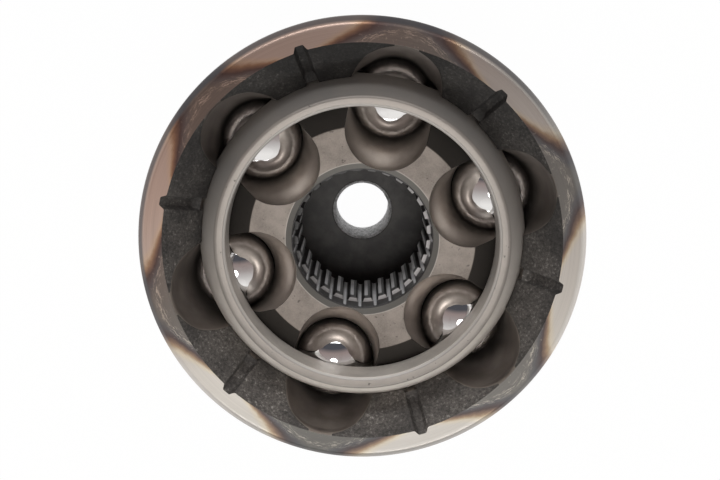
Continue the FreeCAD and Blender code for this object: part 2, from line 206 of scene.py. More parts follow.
class Flow:
    # a socket that takes arithmetic
    def __init__(self, board, socket):
        self.board = board
        self.socket = socket

    def math(self, operation, *others):
        return self.board.add("ShaderNodeMath", {"operation": operation},
                              dict(enumerate((self, *others))))

    def __add__(self, other):
        return self.math("ADD", other)

    def __sub__(self, other):
        return self.math("SUBTRACT", other)

    def __rsub__(self, other):
        return self.board.add("ShaderNodeMath", {"operation": "SUBTRACT"}, {0: other, 1: self})

    def __mul__(self, other):
        return self.math("MULTIPLY", other)

    def __truediv__(self, other):
        return self.math("DIVIDE", other)

    def __pow__(self, other):
        return self.math("POWER", other)

    def __abs__(self):
        return self.math("ABSOLUTE")

    __radd__ = __add__
    __rmul__ = __mul__

    def atLeast(self, value):
        return self.math("MAXIMUM", value)

    def atMost(self, value):
        return self.math("MINIMUM", value)

    def step(self, low, high):
        # 0 below low, 1 above high, smooth between
        return self.board.add("ShaderNodeMapRange", {"interpolation_type": "SMOOTHSTEP"},
                              {"Value": self, "From Min": low, "From Max": high})


class Board:
    # builds one node tree for its owner, a material, a world or a group
    def __init__(self, tree, owner):
        self.tree = tree
        self.owner = owner

    def add(self, kind, settings=None, sockets=None, out=0):
        # settings are set first; a list links several flows; out names one output or more
        node = self.tree.nodes.new(kind)
        for name, value in (settings or {}).items():
            if name == "stops":
                self.setStops(node.color_ramp, value)
            else:
                setattr(node, name, value)
        for key, value in (sockets or {}).items():
            for single in value if isinstance(value, list) else [value]:
                if isinstance(single, Flow):
                    self.tree.links.new(single.socket, node.inputs[key])
                else:
                    node.inputs[key].default_value = single
        if isinstance(out, (tuple, range)):
            return [Flow(self, node.outputs[k]) for k in out]
        return Flow(self, node.outputs[out]) if len(node.outputs) else node

    def setStops(self, ramp, stops):
        while len(ramp.elements) < len(stops):
            ramp.elements.new(0.5)
        for element, (place, colour) in zip(ramp.elements, stops):
            element.position = place
            element.color = (*colour, 1.0)

    def split(self, vector):
        return self.add("ShaderNodeSeparateXYZ", {}, {0: vector}, range(3))

    def join(self, x=0.0, y=0.0, z=0.0):
        return self.add("ShaderNodeCombineXYZ", {}, {0: x, 1: y, 2: z})

    def ramp(self, fac, *stops):
        return self.add("ShaderNodeValToRGB", {"stops": stops}, {"Fac": fac})

    def blend(self, fac, a, b, how="MIX"):
        return self.add("ShaderNodeMix", {"data_type": "RGBA", "blend_type": how},
                        {"Factor": fac, 6: rgba(a), 7: rgba(b)}, out=2)

    def darkToPale(self, look, pattern, low=0.3, high=0.7):
        return self.blend(pattern.step(low, high), look["dark"], look["pale"])

    def times(self, colour, factor, amount=1.0):
        return self.blend(amount, colour, factor, "MULTIPLY")

    def darken(self, amount, colour, pattern, low):
        # multiplies the colour by a grey that falls to low where the pattern does
        grey = self.ramp(pattern, (0.3, (low,) * 3), (0.7, (1.0,) * 3))
        return self.times(colour, grey, amount)

    def noise(self, place, cell, detail=3.0, rough=0.55, warp=0.0):
        # cell is the size of one blotch in millimetres
        return self.add("ShaderNodeTexNoise", {}, {
            "Vector": place, "Scale": 1.0 / (cell * mm), "Detail": detail,
            "Roughness": rough, "Distortion": warp})

    def streaks(self, x, y, z, detail, rough=0.5):
        # noise that the three amounts draw out into lines
        return self.add("ShaderNodeTexNoise", {}, {
            "Vector": self.join(x, y, z), "Scale": 1.0, "Detail": detail, "Roughness": rough})

    def bump(self, height, depth, strength=1.0):
        # depth in millimetres
        return self.add("ShaderNodeBump", {}, {
            "Height": height, "Distance": depth * mm, "Strength": strength})


def rgba(colour):
    return colour if isinstance(colour, Flow) else (*colour, 1.0)


def newBoard(owner):
    owner.use_nodes = True
    owner.node_tree.nodes.clear()
    return Board(owner.node_tree, owner)


def newFinish(name):
    return newBoard(bpy.data.materials.new(name))


def steel(board, colour, roughness, metallic, normal):
    shader = board.add("ShaderNodeBsdfPrincipled", {}, {
        "Base Color": colour, "Roughness": roughness, "Metallic": metallic, "Normal": normal})
    board.add("ShaderNodeOutputMaterial", {}, {"Surface": shader})
    return board.owner


def partPlace(board):
    return board.add("ShaderNodeTexCoord", out="Object")


def cylinderPlace(board):
    # radius and level in millimetres, azimuth in turns
    place = partPlace(board)
    x, y, z = board.split(place)
    radius = (x * x + y * y).math("SQRT") * (1 / mm)
    return place, radius, z * (1 / mm), y.math("ARCTAN2", x) * (1 / math.tau)


def shareAcross(board, place, degrees, reach=47.2):
    # 0 to 1 across the part, growing towards the side at this azimuth
    x, y, _ = board.split(place)
    angle = math.radians(degrees)
    return (x * math.cos(angle) + y * math.sin(angle)) * (0.5 / (reach * mm)) + 0.5


def ringMarks(board, radius, level, turn, pitch):
    # lines that a cutting tool or a grinding wheel leaves round the axis
    return board.streaks((radius + level * 0.7) * (1 / pitch), turn * 6.0, level * (0.2 / pitch),
                         2.5, 0.6)


# finishes
# several carry painted light and shade across the part, measured from this azimuth in degrees

shadeSide = 102.5


def forgedFinish():
    look = dict(dark=(0.042, 0.039, 0.037), brown=(0.090, 0.083, 0.077), speck=(0.36, 0.35, 0.33),
                black=(0.01, 0.01, 0.01), grain=0.62, blotch=8.0, dent=2.4)
    board = newFinish("forgedScale")
    place = partPlace(board)
    blotch = board.noise(place, look["blotch"], 4.0, 0.6)
    grain = board.noise(place, look["grain"], 4.0, 0.75)
    dents = board.noise(place, look["dent"], 3.0, 0.5)
    tone = board.blend(blotch.step(0.32, 0.68), look["dark"], look["brown"])
    tone = board.blend(grain.step(0.35, 0.55), board.blend(0.6, tone, look["black"]), tone)
    specks = grain.step(0.55, 0.72) * blotch.step(0.25, 0.7)
    colour = board.blend(specks * 0.7, tone, look["speck"])
    # painted shade, darker towards one side
    colour = board.times(colour, 1.65 - shareAcross(board, place, shadeSide) * 1.5)
    roughness = 0.60 - specks * 0.2 + dents * 0.1
    return steel(board, colour, roughness, 0.4, board.bump(grain + dents * 1.5, 0.16))


def rimFinish():
    # turned steel; the induction hardening of each track leaves a tinted lobe
    look = dict(silver=(0.66, 0.625, 0.58), cream=(0.70, 0.63, 0.515), straw=(0.44, 0.33, 0.23),
                brown=(0.28, 0.20, 0.155), violet=(0.125, 0.10, 0.098), blue=(0.15, 0.147, 0.152),
                grey=(0.20, 0.192, 0.18), scuff=(0.55, 0.51, 0.45), rosyReflection=(0.98, 0.77, 0.70),
                corner=(0.05, 0.05, 0.056), wide=22.0, narrow=10.0, depth=5.6,
                innerRadius=41.7, innerLevel=17.8, lineHalf=12.5, lineBow=2.6, lineDepth=2.7)
    tints = dict(grey=0.26, blue=0.42, violet=0.58, brown=0.69, straw=0.76, cream=0.86, silver=1.0)
    board = newFinish("temperedRim")
    place, radius, level, turn = cylinderPlace(board)
    wave = board.noise(place, 14.0, 3.0, 0.5)
    fine = board.noise(place, 1.8, 4.0, 0.65)
    # distance across the rim from the forged edge, in millimetres
    across = (radius - look["innerRadius"]) + (look["innerLevel"] - level).atLeast(0.0)
    share = (across / look["depth"]).atLeast(0.0).atMost(1.0)
    # degrees from the middle of the nearest track
    fold = abs((turn * trackCount).math("FRACT") - 0.5) * (360.0 / trackCount)
    left = 1.0 - share
    width = look["narrow"] + left * left * (look["wide"] - look["narrow"])
    edge = (fold - width) + (wave - 0.5) * 6.0 + (fine - 0.5) * 2.2
    lobe = board.ramp((edge + 14.0) / 19.0, (0.0, look["grey"]),
                      *[(stop, look[tint]) for tint, stop in tints.items()])
    # pale rubbed line that follows the track's opening, and fine scratches beside it
    bow = (fold / look["lineHalf"]) ** 2.0 * look["lineBow"]
    line = bow + across - look["lineDepth"] + (fine - 0.5) * 1.5
    streak = board.streaks(line * 5.0, turn * 150.0, wave * 4.0, 3.0)
    rubAndGlint = (1.0 - abs(line * 0.9)).atLeast(0.0) * streak.step(0.48, 0.68)
    scratch = board.streaks(radius * 1.3, turn * 420.0, level, 3.0)
    inLobe = 1.0 - edge.step(-6.0, 0.0)
    wear = (rubAndGlint + scratch.step(0.62, 0.75) * 0.45 * (1.0 - share)) * inLobe
    marks = ringMarks(board, radius, level, turn, 0.10)
    colour = board.blend(wear.atMost(0.85), lobe, look["scuff"])
    colour = board.darken(0.25, colour, marks, 0.4)
    # painted light and shade: a rosy painted reflection on one side, painted shade on two opposite
    # sides, and a painted dark corner over the shoulder's highlight
    rosyReflection = shareAcross(board, place, shadeSide + 40).step(0.5, 0.9)
    colour = board.times(colour, look["rosyReflection"], rosyReflection)
    shade = (1.0 - shareAcross(board, place, shadeSide).step(0.6, 1.0) * 0.28
             - shareAcross(board, place, shadeSide + 180).step(0.78, 1.0) * 0.47)
    colour = board.times(colour, shade)
    # painted dark corner on one side, covering the highlight of the shoulder's rounding
    corner = radius.step(45.6, 46.3) * level.step(15.2, 16.4) * shareAcross(
        board, place, shadeSide + 25).step(0.35, 0.7)
    colour = board.blend(corner * 0.85, colour, look["corner"])
    roughness = 0.30 + inLobe * 0.12 + marks * 0.10
    return steel(board, colour, roughness, 0.92, board.bump(marks + fine * 0.4, 0.006, 0.7))


def trackFinish(name, **look):
    board = newFinish(name)
    place = partPlace(board)
    cloud = board.noise(place, 9.0, 3.0, 0.5)
    fine = board.noise(place, 0.5, 3.0, 0.6)
    colour = board.darken(0.18, board.darkToPale(look, cloud), fine, 0.5)
    roughness = 0.36 + (cloud - 0.5) * 0.12 + fine * 0.06
    return steel(board, colour, roughness, 0.88, board.bump(fine, 0.008, 0.6))


def cageFinish():
    look = dict(face=(0.215, 0.198, 0.181), ball=(0.27, 0.258, 0.245), pit=(0.05, 0.045, 0.04),
                edge=(0.62, 0.60, 0.57), pale=(0.92, 0.87, 0.80), cloud=(0.33, 0.30, 0.27),
                faceLevel=18.4, faceFull=19.0, edgeRadius=29.0, edgeHalf=0.35)
    board = newFinish("cageSteel")
    place, radius, level, turn = cylinderPlace(board)
    cloud = board.noise(place, 6.0, 4.0, 0.6)
    fine = board.noise(place, 0.45, 3.0, 0.65)
    pits = board.noise(place, 1.1, 2.0, 0.5).step(0.70, 0.76)
    onFace = abs(level).step(look["faceLevel"], look["faceFull"])
    # painted light, paler towards one side
    paler = shareAcross(board, place, shadeSide + 180, 36.0).step(0.25, 0.95)
    tone = board.blend(onFace, board.blend(paler, look["ball"], look["pale"]), look["face"])
    tone = board.blend(cloud.step(0.3, 0.75) * 0.35, tone, look["cloud"])
    colour = board.blend(pits * onFace * 0.8, tone, look["pit"])
    # painted highlight: a thin pale line on the bevel at the bore
    edgeGlint = (1.0 - abs(radius - look["edgeRadius"]) / look["edgeHalf"]).atLeast(0.0) * onFace
    colour = board.blend(edgeGlint * 0.7, colour, look["edge"])
    marks = ringMarks(board, radius, level, turn, 0.12)
    roughness = 0.33 + cloud * 0.1 + fine * 0.08
    normal = board.bump(fine + marks * 0.7 - pits * 2.0, 0.010, 0.7)
    return steel(board, colour, roughness, 0.4, normal)


def raceFaceFinish():
    look = dict(dark=(0.16, 0.140, 0.124), pale=(0.26, 0.23, 0.205), grain=(0.34, 0.305, 0.27),
                pit=(0.07, 0.06, 0.055), bevel=(0.13, 0.125, 0.115), rim=(0.45, 0.43, 0.40),
                taper=(0.034, 0.031, 0.028), bevelRadius=16.4, faceRadius=24.1, lineHalf=0.16)
    board = newFinish("blastedFace")
    place, radius, _, _ = cylinderPlace(board)
    cloud = board.noise(place, 5.0, 4.0, 0.6)
    grain = board.noise(place, 0.28, 3.0, 0.7)
    pits = board.noise(place, 0.9, 2.0, 0.5).step(0.66, 0.74)
    tone = board.darkToPale(look, cloud)
    tone = board.blend(grain.step(0.3, 0.75) * 0.4, tone, look["grain"])
    colour = board.blend(pits * 0.7, tone, look["pit"])
    inBevel = 1.0 - radius.step(look["bevelRadius"] - 0.08, look["bevelRadius"] + 0.02)
    colour = board.blend(inBevel, colour, look["bevel"])
    # painted shade: the taper beside the cage is coloured nearly black
    onTaper = radius.step(look["faceRadius"], look["faceRadius"] + 0.25)
    colour = board.blend(onTaper * 0.95, colour, look["taper"])
    # painted highlight: a thin pale line along the bevel's outer edge
    line = 1.0 - abs((radius - look["bevelRadius"] - 0.05) / look["lineHalf"])
    colour = board.blend(line.atLeast(0.0) * 0.6, colour, look["rim"])
    return steel(board, colour, 0.58 + grain * 0.1, 0.5, board.bump(grain - pits, 0.03, 0.8))


# sizes of the splined bore, for its finish here and its mesh below
spline = dict(count=28, tip=14.0, rootCentre=14.3, rootRadius=0.75, mouthHalf=0.81, lipTurn=0.008,
              lipRise=0.12, lipInset=0.02, toothTop=7.0, toothBevel=0.1, entryRadius=14.9,
              entryRow=2.5, turn=10.757)


def splineFinish():
    # painted shade makes the entry and tooth tips dark; painted highlights make the roots and a strip
    # on each tip land pale; the tooth ends carry painted light and shade
    s = spline
    look = dict(dark=(0.022, 0.020, 0.020), pale=(0.96, 0.96, 0.97), end=(0.44, 0.43, 0.43),
                rootTop=11.0, entryStep=0.52, glintTop=4.8, glintHalf=0.40, glintShift=-0.30)
    board = newFinish("broachedSteel")
    place, radius, level, turn = cylinderPlace(board)
    fine = board.noise(place, 0.35, 3.0, 0.6)
    cloud = board.noise(place, 2.5, 3.0, 0.5)
    # broaching lines run along the axis
    lines = board.streaks(turn * 900.0, level * 0.15, radius * 3.0, 2.0)
    pitch = math.tau * s["tip"] / s["count"]
    shifted = (turn + 1.0) * s["count"] - s["turn"] * s["count"] / 360.0
    # millimetres from the middle of the nearest tooth, and of the nearest gap
    fromTooth = (shifted.math("FRACT") - 0.5) * pitch
    fromGap = ((shifted + 0.5).math("FRACT") - 0.5) * pitch
    plainEntry = (level - s["toothTop"]).step(-0.1, 0.1)
    # painted highlight down each root
    inRoot = (radius - plainEntry * look["entryStep"]).step(14.38, 14.44)
    inRoot *= (1.0 - fromGap.step(0.05, 0.40)) * fromGap.step(-0.62, -0.5)
    inRoot *= 1.0 - level.step(look["rootTop"], look["rootTop"] + 0.15)
    onEnd = radius.step(14.05, 14.15) * (1.0 - abs(level - s["toothTop"]).step(0.02, 0.12))
    # painted highlight: a narrow strip on each tip land
    rubAndGlint = 1.0 - abs(fromTooth - look["glintShift"]).step(look["glintHalf"] - 0.06, look["glintHalf"])
    rubAndGlint *= 1.0 - level.step(look["glintTop"] - 0.2, look["glintTop"])
    rubAndGlint *= 1.0 - radius.step(14.1, 14.3)
    paintedShadeAndGlints = board.blend(inRoot.atLeast(rubAndGlint * 0.85) * (0.55 + lines * 0.5), look["dark"],
                       look["pale"])
    # tooth ends carry painted light and shade, darker towards one side
    lit = 1.15 - shareAcross(board, place, shadeSide + 50, 14.5) * 1.3
    colour = board.blend(onEnd, paintedShadeAndGlints, board.times(look["end"], lit))
    colour = board.darken(0.3, colour, cloud, 0.5)
    normal = board.bump(lines + fine * 0.5, 0.010, 0.6)
    return steel(board, colour, 0.36 + lines * 0.15, 0.1, normal)


def holeFinish():
    look = dict(dark=(0.46, 0.46, 0.46), pale=(0.95, 0.95, 0.96))
    board = newFinish("tappedThread")
    grain = board.noise(partPlace(board), 0.8, 4.0, 0.7)
    colour = board.darkToPale(look, grain, 0.35, 0.65)
    return steel(board, colour, 0.42, 0.6, board.bump(grain, 0.03, 0.7))


def boreFinish():
    # floor and hidden cavity, black with grease and scale
    look = dict(dark=(0.024, 0.023, 0.023), pale=(0.06, 0.057, 0.055))
    board = newFinish("darkFloor")
    cloud = board.noise(partPlace(board), 5.0, 4.0, 0.6)
    colour = board.darkToPale(look, cloud)
    return steel(board, colour, 0.5 + cloud * 0.1, 0.3, board.bump(cloud, 0.05, 0.4))


def castFinish():
    # outside of the bowl, forged and shot blasted
    look = dict(dark=(0.07, 0.068, 0.066), pale=(0.15, 0.145, 0.14), speck=(0.30, 0.29, 0.28))
    board = newFinish("blastedForging")
    place = partPlace(board)
    cloud = board.noise(place, 8.0, 5.0, 0.6)
    grain = board.noise(place, 0.5, 3.0, 0.7)
    colour = board.darkToPale(look, cloud)
    colour = board.blend(grain.step(0.55, 0.8) * 0.5, colour, look["speck"])
    return steel(board, colour, 0.55, 0.7, board.bump(grain + cloud * 2.0, 0.06, 0.8))


def turnedFinish():
    look = dict(dark=(0.33, 0.32, 0.31), pale=(0.58, 0.57, 0.55))
    board = newFinish("turnedSteel")
    place, radius, level, turn = cylinderPlace(board)
    marks = ringMarks(board, radius, level, turn, 0.11)
    cloud = board.noise(place, 7.0, 3.0, 0.5)
    colour = board.blend(marks * 0.6 + cloud * 0.4, look["dark"], look["pale"])
    return steel(board, colour, 0.26 + marks * 0.16, 1.0, board.bump(marks, 0.008, 0.7))


def ballFinish():
    look = dict(chrome=(0.80, 0.80, 0.81), smear=(0.66, 0.65, 0.64))
    board = newFinish("polishedBall")
    place = partPlace(board)
    smear = board.noise(place, 3.0, 4.0, 0.6, warp=0.6)
    hair = board.noise(place, 0.25, 2.0, 0.6)
    colour = board.blend(smear.step(0.5, 0.8) * 0.6, look["chrome"], look["smear"])
    roughness = 0.035 + smear.step(0.45, 0.8) * 0.06
    return steel(board, colour, roughness, 1.0, board.bump(hair, 0.0008, 0.4))


finish = dict(
    forged=forgedFinish(), rim=rimFinish(), cage=cageFinish(), raceFace=raceFaceFinish(),
    bellTrack=trackFinish("groundBellTrack", dark=(0.20, 0.18, 0.165), pale=(0.36, 0.325, 0.30)),
    raceTrack=trackFinish("groundRaceTrack", dark=(0.30, 0.265, 0.237), pale=(0.46, 0.413, 0.372)),
    spline=splineFinish(), hole=holeFinish(), bore=boreFinish(), cast=castFinish(),
    turned=turnedFinish(), ball=ballFinish())
print("finishes made")


# outer race

bell = dict(
    cavityRadius=36.35, floorLevel=-30.5, coneRadius=33.0, coneLevel=10.2,
    rimRadius=41.7, rimLevel=19.9, bevelRadius=45.8, bevelLevel=18.7, bevelStart=44.6,
    bodyRadius=47.2, shoulderLevel=16.6, shoulderRound=2.2,
    beadRadius=46.5, beadTop=9.2, beadBottom=6.6, beadSlope=0.4,
    collarBottom=0.0, waistRadius=45.2, waistLevel=-2.0, bowlRadius=46.6, bowlTop=-8.0,
    bowlEnd=-28.0, neckRadius=29.0, neckTop=-33.0, neckLevel=-37.0, hubRadius=31.0,
    hubTop=-39.0, hubBevel=1.0, backLevel=-46.5, dishRadius=19.5, dishDepth=1.6, dishStep=0.75,
    holeRadius=6.9, holeRound=0.35, holeBevel=0.6, floorReach=19.0, insideRadius=25,
    reliefBase=30.3, reliefBaseLevel=4.0, reliefAxis=31.5, reliefLevel=17.0, reliefRun=10.0,
    reliefRadius=9.95, lipBlend=0.7, reliefBlend=0.6, mouthBlend=0.35, mouthBand=0.9,
    channelDepth=1.15, channelFloor=0.70, channelLip=1.60, channelBlend=0.05, leastLip=2.5,
    landLevel=-24, mouthHighest=16.0, sphereRows=44, mouthRows=8, coneRows=18, bevelRows=6, bowlRows=10,
    longestStep=2.2)
tooth = dict(count=48, depth=2.1, outer=33.0, half=1.95, land=0.22, sunk=0.3, start=0.8,
             startRise=1.3)
forgedZone, rimZone, trackZone, castZone, holeZone, boreZone, turnedZone = range(7)
coneSlope = (bell["rimLevel"] - bell["coneLevel"]) / (bell["rimRadius"] - bell["coneRadius"])
coneSlant = coneSlope / math.hypot(coneSlope, 1.0)
bevelSlope = ((bell["rimLevel"] - bell["bevelLevel"])
              / (bell["bevelRadius"] - bell["rimRadius"]))
landShares = (.05, .12, .22, .36, .52, .68, .84, 1.0)
channelSteps = (1.75, 1.45, 1.2, 0.98, 0.76, 0.45, 0.0)


def coneAt(level):
    return bell["rimRadius"] + (level - bell["rimLevel"]) / coneSlope


def cavityAt(level):
    ball = math.sqrt(max(0.0, bell["cavityRadius"] ** 2 - level ** 2))
    return float(softMax(ball, coneAt(level), bell["mouthBlend"]))


def bellGroove(side, level):
    # how far the track, or its forged opening, reaches out at this distance from its middle
    b = bell
    reach = -1e3
    if side < trackRadius:
        swing = trackReach + math.sqrt(trackRadius ** 2 - side ** 2)
        reach = math.sqrt(max(0.0, swing ** 2 - (level - trackOffset) ** 2))
    if level > b["reliefBaseLevel"]:
        rise = level - b["reliefBaseLevel"]
        full = b["reliefLevel"] - b["reliefBaseLevel"]
        middle = b["reliefBase"] + (b["reliefAxis"] - b["reliefBase"]) * rise / (
            full + b["reliefRun"])
        outer = b["reliefBase"] + trackRadius
        outer += (b["reliefAxis"] + b["reliefRadius"] - outer) * min(1.0, rise / full)
        width = outer - middle
        if side < width:
            forged = middle + math.sqrt(width ** 2 - side ** 2)
            reach = float(softMax(reach, forged, b["reliefBlend"]))
    return reach


def channelDepthAt(offset):
    share = (abs(offset) - bell["channelFloor"]) / (bell["channelLip"] - bell["channelFloor"])
    share = min(1.0, max(0.0, share))
    return bell["channelDepth"] * (1 - share * share * (3 - 2 * share))


def bellHalf(level):
    # half a sector of the inner wall at one level, as (radius, azimuth) pairs
    land = cavityAt(level)
    nearLand = land * 0.98
    widest = max(trackRadius, bell["reliefRadius"]) * 1.02
    lip = crossing(lambda side: math.hypot(bellGroove(side, level), side) - land
                   if bellGroove(side, level) > 0 else -1.0, widest)
    half = []
    for share in grooveShares:
        side = max(lip, bell["leastLip"]) * share
        reach = bellGroove(side, level)
        groove = math.hypot(reach, side) if reach > 0 else 0.0
        if groove > nearLand:
            angle = math.atan2(side, reach)
        else:
            angle = math.asin(min(1.0, side / land))
        half.append((float(softMax(land, groove, bell["lipBlend"])), angle))
    start = half[-1][1]
    stop = halfSector - math.asin(channelSteps[0] * 1.25 / land)
    for share in landShares:
        angle = start + (stop - start) * share
        reach = bellGroove(land * math.sin(angle), level)
        groove = reach / math.cos(angle) if reach > 0 else 0.0
        half.append((float(softMax(land, groove, bell["lipBlend"])), angle))
    half += [(land, halfSector - math.asin(offset / land)) for offset in channelSteps]
    return half


def addChannel(half, level):
    # pushes the last columns out to the floor of the forged channel
    plain = len(half) - len(channelSteps)
    out = half[:plain]
    for (radius, angle), offset in zip(half[plain:], channelSteps):
        depth = channelDepthAt(offset)
        if depth > 0:
            floor = coneAt(level) + depth / coneSlant
            radius = float(softMax(radius, floor, bell["channelBlend"]))
        out.append((radius, angle))
    return out


def rimDrop(column):
    # where a column of the channel comes out on the bevel: level below the rim
    k = column - (halfColumns + 1 - len(channelSteps))
    if k < 0:
        return 0.0
    return bevelSlope * (channelDepthAt(channelSteps[k]) / coneSlant) / (
        1 + bevelSlope / coneSlope)


def wallRow(level):
    pairs = addChannel(bellHalf(level), level)
    return level, np.array([(r * math.cos(a), r * math.sin(a), level) for r, a in pairs])


def bellWall():
    # inner wall from the floor to the rim, a level and half a sector for each row
    b = bell
    mouth = crossing(lambda z: math.sqrt(b["cavityRadius"] ** 2 - z * z) - coneAt(z),
                     b["mouthHighest"])
    bandStart, start = mouth - b["mouthBand"], mouth + b["mouthBand"]
    low = math.asin(b["floorLevel"] / b["cavityRadius"])
    high = math.asin(bandStart / b["cavityRadius"])
    levels = [b["cavityRadius"] * math.sin(low + (high - low) * k / b["sphereRows"])
              for k in range(b["sphereRows"] + 1)]
    levels += [bandStart + 2 * b["mouthBand"] * k / b["mouthRows"]
               for k in range(1, b["mouthRows"])]
    rows = [wallRow(level) for level in levels]
    for k in range(b["coneRows"] + 1):
        share = k / b["coneRows"]
        plain = start + (b["rimLevel"] - start) * share
        base = bellHalf(plain)
        points = []
        for column in range(halfColumns + 1):
            level = start + (b["rimLevel"] - rimDrop(column) - start) * share
            pairs = base if level == plain else addChannel(bellHalf(level), level)
            radius, angle = pairs[column]
            points.append((radius * math.cos(angle), radius * math.sin(angle), level))
        rows.append((plain, np.array(points)))
    return rows, mouth


def bellOutside():
    b, t = bell, tooth
    bowl = []
    for k in range(b["bowlRows"] + 1):
        level = b["bowlTop"] + (b["bowlEnd"] - b["bowlTop"]) * k / b["bowlRows"]
        bowl.append((math.sqrt(b["bowlRadius"] ** 2 - level ** 2), level,
                     1.0 if k in (0, b["bowlRows"]) else 0))
    rootOuter = b["backLevel"] + t["depth"] * b["hubRadius"] / t["outer"]
    rootInner = b["backLevel"] + t["depth"] * (b["dishRadius"] - t["start"]) / t["outer"]
    dishFloor = b["backLevel"] + b["dishDepth"]
    bevelEdge = b["rimLevel"] - (b["bevelStart"] - b["rimRadius"]) * bevelSlope
    corners = [(b["bevelStart"], bevelEdge, 0),
               (b["bevelRadius"], b["bevelLevel"], b["shoulderRound"]),
               (b["bodyRadius"], b["shoulderLevel"], b["shoulderRound"]),
               (b["bodyRadius"], b["beadTop"] + b["beadSlope"], 0.2),
               (b["beadRadius"], b["beadTop"], 0.25), (b["beadRadius"], b["beadBottom"], 0.25),
               (b["bodyRadius"], b["beadBottom"] - b["beadSlope"], 0.2),
               (b["bodyRadius"], b["collarBottom"], 0.5),
               (b["waistRadius"], b["waistLevel"], 1.2), *bowl,
               (b["neckRadius"], b["neckTop"], 2.4), (b["neckRadius"], b["neckLevel"], 1.2),
               (b["hubRadius"], b["hubTop"], 0.6), (b["hubRadius"], rootOuter, 0.1),
               (b["dishRadius"] - b["dishStep"], rootInner, 0.1),
               (b["dishRadius"] - b["hubBevel"], dishFloor, 0.1),
               (b["holeRadius"] + b["holeBevel"], dishFloor, b["holeRound"]),
               (b["holeRadius"], dishFloor + b["holeBevel"], b["holeRound"]),
               (b["holeRadius"], b["floorLevel"] - 0.5, b["holeRound"]),
               (b["holeRadius"] + 0.5, b["floorLevel"], b["holeRound"]),
               (b["floorReach"], b["floorLevel"], 0)]
    return spaced(roundedPath(corners), b["longestStep"])


def bellZone(radius, level):
    b = bell
    if level > b["collarBottom"] - 0.2 and radius > b["bevelStart"] - 0.1:
        return rimZone
    if radius < b["holeRadius"] + 0.3:
        return holeZone
    if level > b["neckLevel"]:
        return boreZone if radius < b["insideRadius"] else castZone
    return turnedZone if level < b["hubTop"] + 0.5 else castZone


def makeBell():
    b = bell
    wall, mouth = bellWall()
    rows = [ringFromHalf(half) for _, half in wall]
    groove = inGroove()
    zones = []
    for level, _ in wall[:-1]:
        land = trackZone if level < mouth - 0.2 else forgedZone
        zones.append(np.where(groove, trackZone, land) if level > b["landLevel"] else boreZone)
    even = np.linspace(0, halfSector, halfColumns + 1)
    rimX, rimY, _ = wall[-1][1].T
    rimAngles, rimReach = np.arctan2(rimY, rimX), np.hypot(rimX, rimY)
    zones.append(rimZone)
    for k in range(1, b["bevelRows"]):
        share = k / b["bevelRows"]
        radius = rimReach + (b["bevelStart"] - rimReach) * share
        level = b["rimLevel"] - (radius - b["rimRadius"]) * bevelSlope
        angles = rimAngles + (even - rimAngles) * max(0.0, share - 0.3) / 0.7
        rows.append(ringFromHalf(halfRing(radius, level, angles)))
        zones.append(rimZone)
    path = bellOutside()
    floorX, floorY, _ = wall[0][1].T
    for (radius, level), following in zip(path, path[1:] + path[-1:]):
        inside = level > b["floorLevel"] - 1.0 and radius < b["insideRadius"]
        angles = np.arctan2(floorY, floorX) if inside else even
        rows.append(ringFromHalf(halfRing(radius, level, angles)))
        zones.append(bellZone((radius + following[0]) / 2, (level + following[1]) / 2))
    mesh = gridMesh("bell", rows, zones, sharp=38)
    return addObject("bell", mesh, finish["forged"], finish["rim"], finish["bellTrack"],
                     finish["cast"], finish["hole"], finish["bore"], finish["turned"])


# geometry node trees

def newTree(name, sizes):
    # sizes gives each named input its value, whose type says the kind of input
    tree = bpy.data.node_groups.new(name, "GeometryNodeTree")
    kinds = {int: "NodeSocketInt", float: "NodeSocketFloat", tuple: "NodeSocketVector"}
    face = tree.interface
    face.new_socket("Geometry", in_out="INPUT", socket_type="NodeSocketGeometry")
    values = {}
    for label, value in sizes.items():
        socket = face.new_socket(label, in_out="INPUT", socket_type=kinds[type(value)])
        values[socket.identifier] = value
    face.new_socket("Geometry", in_out="OUTPUT", socket_type="NodeSocketGeometry")
    board = Board(tree, tree)
    return board, values, board.add("NodeGroupInput", out=range(len(sizes) + 1))


def closeTree(board, geometry, material):
    real = board.add("GeometryNodeRealizeInstances", {}, {"Geometry": geometry})
    done = board.add("GeometryNodeSetMaterial", {}, {"Geometry": real, "Material": material})
    board.add("NodeGroupOutput", {}, {0: done})


def applyTree(name, mesh, board, values, sharp):
    holder = addObject(name + "Seed", mesh)
    modifier = holder.modifiers.new("build", "NODES")
    modifier.node_group = board.owner
    for identifier, value in values.items():
        modifier[identifier] = value
    graph = bpy.context.evaluated_depsgraph_get()
    result = bpy.data.meshes.new_from_object(holder.evaluated_get(graph), depsgraph=graph)
    bpy.data.objects.remove(holder)
    result.name = name
    tidyMesh(result, sharp)
    return addObject(name, result)


def aroundAxis(board, piece, count, turn):
    # copies of the piece, turned round the axis
    points = board.add("GeometryNodePoints", {}, {"Count": count})
    spread = board.add("GeometryNodeInstanceOnPoints", {}, {
        "Points": points, "Instance": piece, "Rotation": board.join(z=turn)})
    return board.add("GeometryNodeRealizeInstances", {}, {"Geometry": spread})


def repeatTree(name, count, material, weld=0.0):
    board, values, (piece, number, gap) = newTree(name, {"Count": count, "Weld": weld})
    turn = board.add("GeometryNodeInputIndex") / number * math.tau
    welded = board.add("GeometryNodeMergeByDistance", {}, {
        "Geometry": aroundAxis(board, piece, number, turn), "Distance": gap})
    closeTree(board, welded, material)
    return board, values


